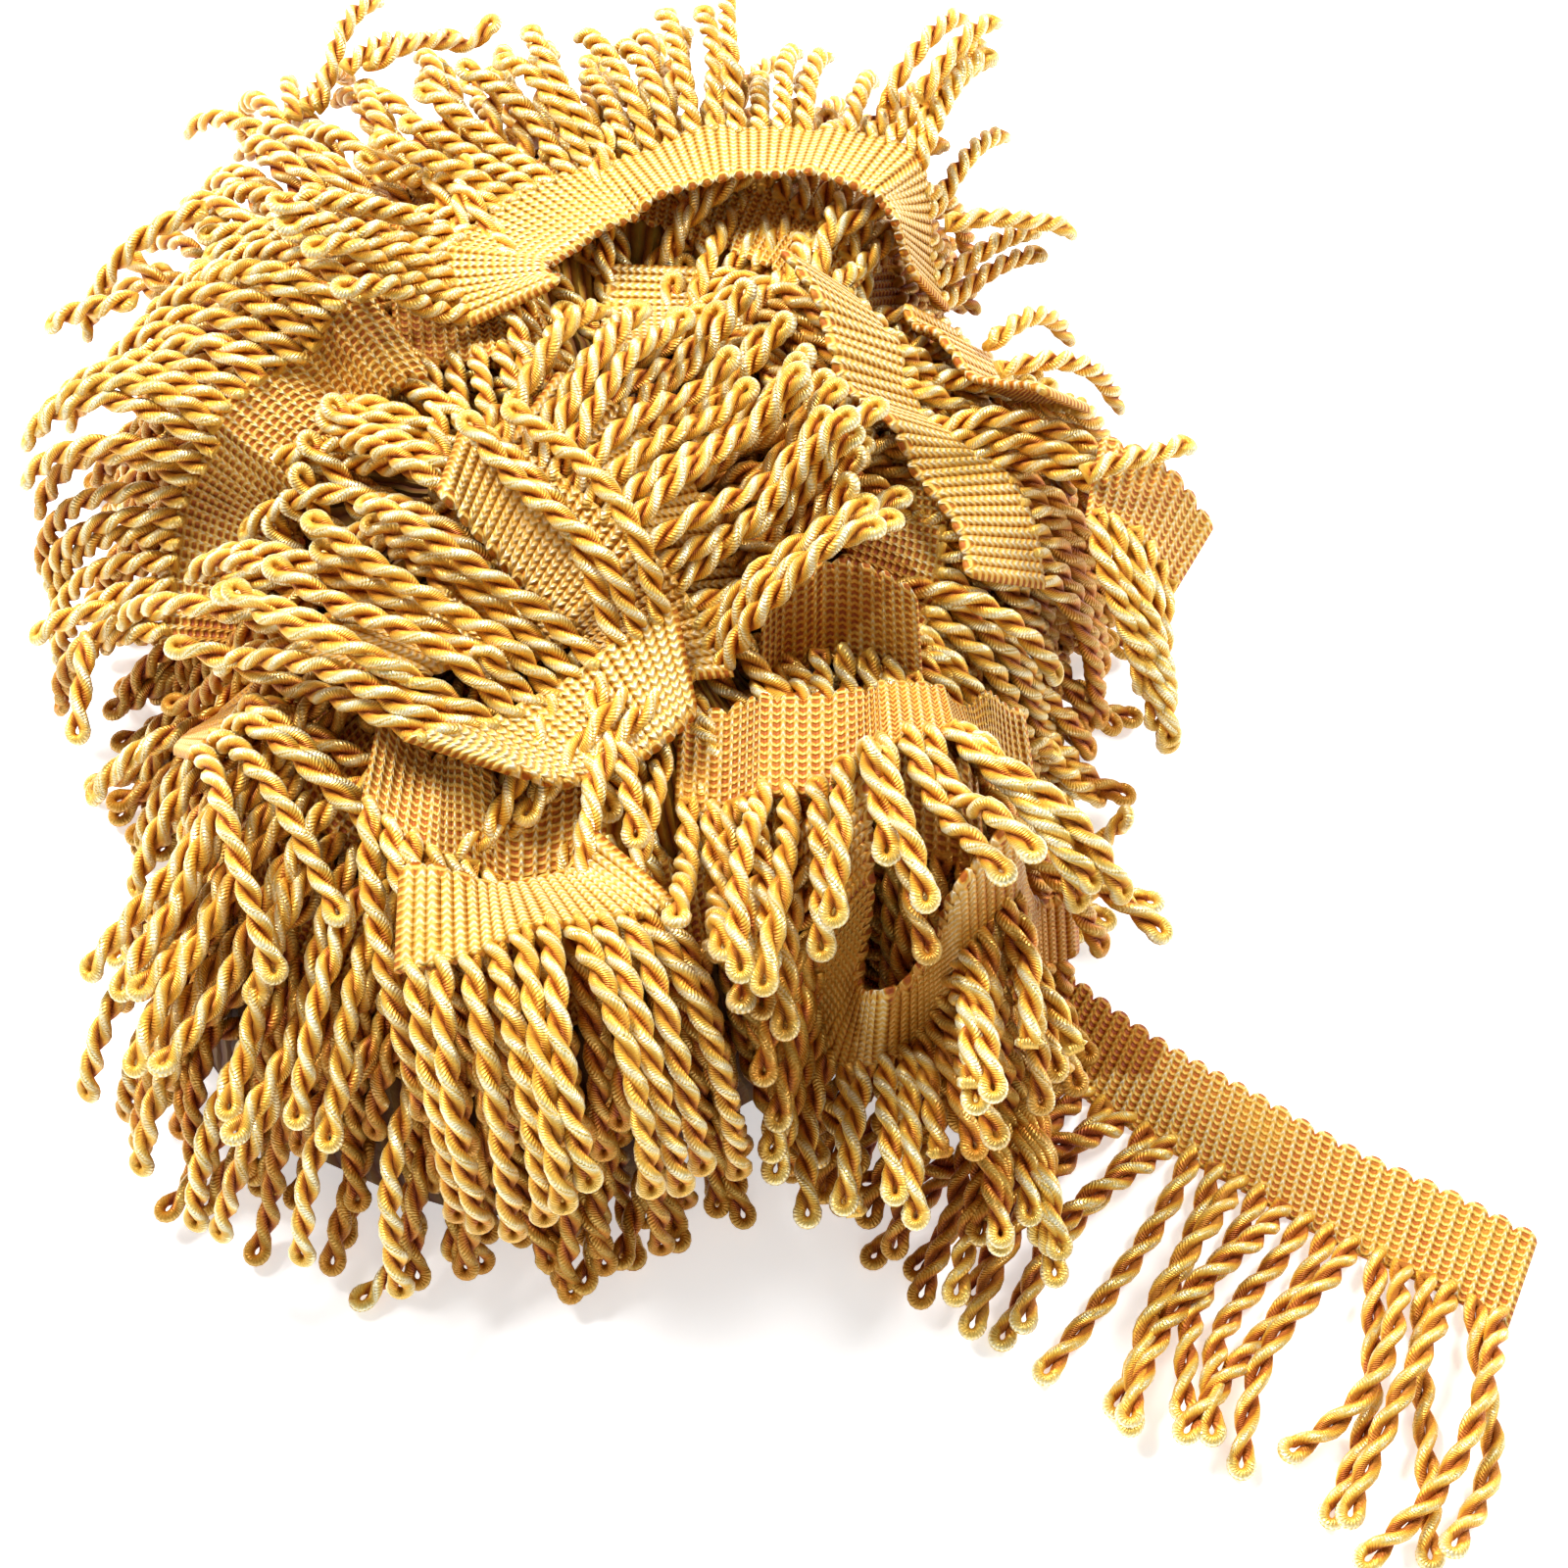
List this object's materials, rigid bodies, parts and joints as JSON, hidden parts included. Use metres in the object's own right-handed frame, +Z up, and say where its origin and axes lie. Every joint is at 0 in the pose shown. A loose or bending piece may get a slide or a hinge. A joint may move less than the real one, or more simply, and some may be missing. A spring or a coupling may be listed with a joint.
{
  "type": "tassel fringe trim",
  "caption": "Gathered heap of gold twisted rope fringe on a knitted scalloped heading, with one loose end lying flat.",
  "frame": {"origin": "on the surface the heap rests on, under the middle of the heap", "axes": "+Z up from the surface, +Y away from the viewer of the picture, +X to the viewer's right, where the loose end points"},
  "size_m": [0.235, 0.265, 0.0738],
  "materials": {
    "fringe_gold": "satin thread",
    "core_gold": "satin thread in shade"
  },
  "bodies": {
    "root": {"apron_back": "fringe_gold", "apron_front_left": "fringe_gold", "apron_right": "fringe_gold", "loose_tail": "fringe_gold", "skirt_back": "fringe_gold", "skirt_front": "fringe_gold", "skirt_left": "fringe_gold", "skirt_right": "fringe_gold", "turn_back_arch": "fringe_gold", "turn_centre": "fringe_gold", "turn_centre_fold": "fringe_gold", "turn_centre_lower": "fringe_gold", "turn_centre_right": "fringe_gold", "turn_far_right": "fringe_gold", "turn_front": "fringe_gold", "turn_front_band": "fringe_gold", "turn_front_cup": "fringe_gold", "turn_in_hollow": "fringe_gold", "turn_left_fan": "fringe_gold", "turn_left_hang": "fringe_gold", "turn_left_rim": "fringe_gold", "turn_left_top": "fringe_gold", "turn_right": "fringe_gold", "turn_right_fold": "fringe_gold", "turn_small_loop": "fringe_gold", "turn_under_band": "fringe_gold", "turn_wavy": "fringe_gold", "wound_core": "core_gold"}
  },
  "joints": []
}
